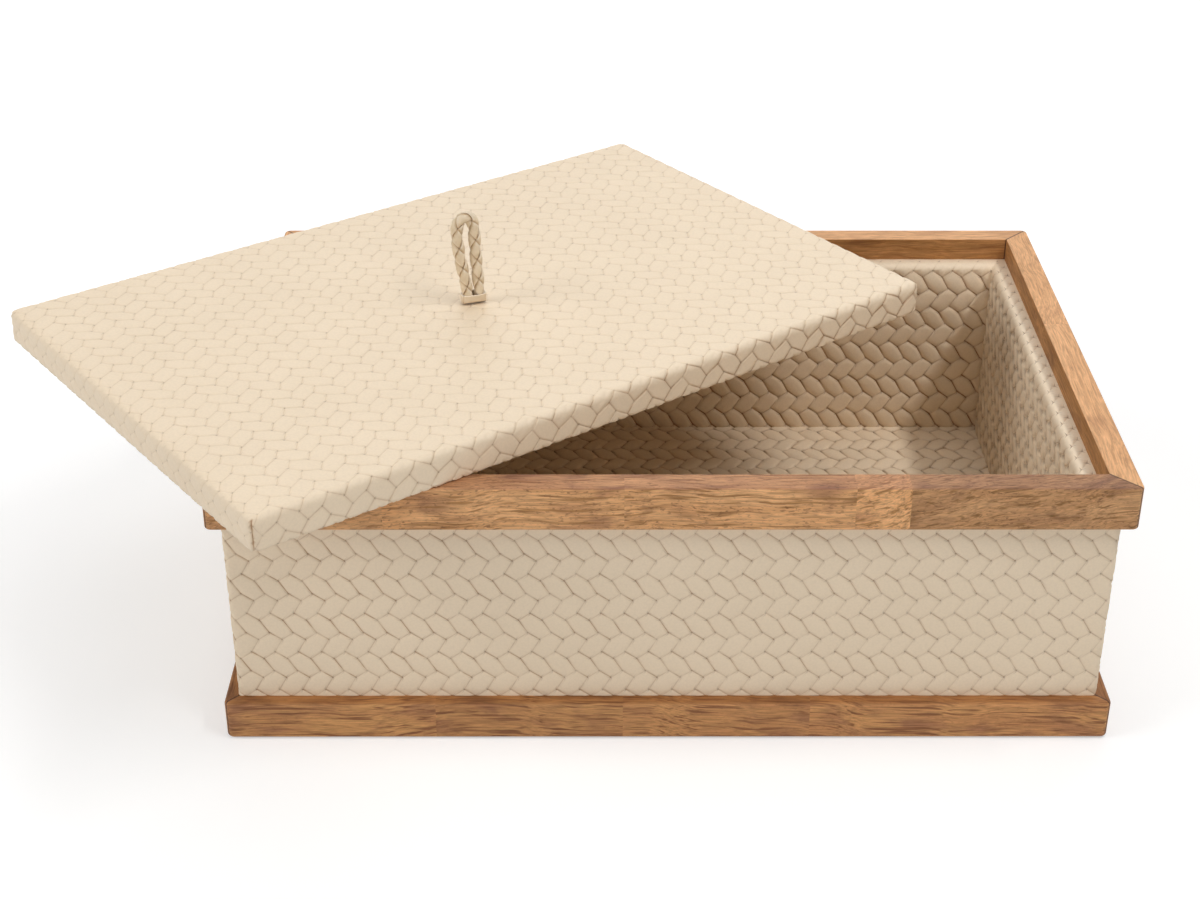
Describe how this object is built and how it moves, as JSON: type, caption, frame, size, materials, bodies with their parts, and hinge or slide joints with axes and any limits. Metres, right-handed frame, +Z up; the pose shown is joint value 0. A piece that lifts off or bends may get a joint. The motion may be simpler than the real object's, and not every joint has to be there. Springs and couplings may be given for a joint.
{
  "type": "lidded box",
  "caption": "Rectangular leather-covered box for papers and keepsakes, with a mitred wooden rim and plinth and a loose flat lid with a braided pull loop, lying askew on the rim.",
  "frame": {"origin": "middle of the underside, where the box stands", "axes": "+X along the box's long front, to the right; +Y from the front to the back; +Z up"},
  "size_m": [0.4872, 0.3926, 0.1857],
  "materials": {
    "rim_wood": "satin",
    "plinth_wood": "satin",
    "fibreboard": "matte",
    "embossed_leather": "satin",
    "plain_leather": "satin",
    "braided_leather": "satin",
    "steel": "satin"
  },
  "bodies": {
    "box": {"rim_front": "rim_wood", "rim_right": "rim_wood", "rim_back": "rim_wood", "rim_left": "rim_wood", "plinth_front": "plinth_wood", "plinth_right": "plinth_wood", "plinth_back": "plinth_wood", "plinth_left": "plinth_wood", "wall_board_front": "fibreboard", "wall_board_right": "fibreboard", "wall_board_back": "fibreboard", "wall_board_left": "fibreboard", "inner_cover_front": "embossed_leather", "inner_cover_right": "embossed_leather", "inner_cover_back": "embossed_leather", "inner_cover_left": "embossed_leather", "base_board": "fibreboard", "floor_cover": "embossed_leather", "outer_cover": "embossed_leather"},
    "lid": {"lid_board": "fibreboard", "lid_cover": "embossed_leather", "lid_lining": "plain_leather", "loop_tail": "braided_leather", "tail_staples": "steel"},
    "loop": {"pull_loop": "braided_leather", "loop_band": "plain_leather"}
  },
  "joints": [
    {"name": "lid_lift", "type": "slide", "parent": "box", "child": "lid", "axis": [0, 0, 1], "range_m": [0, 0.15]},
    {"name": "loop_fold", "type": "hinge", "parent": "lid", "child": "loop", "pos_m": [-0.0867, 0.0112, 0.1445], "axis": [0.9511, 0.309, 0], "range_deg": [-75, 75], "stiffness_Nm_per_rad": 0.004}
  ]
}
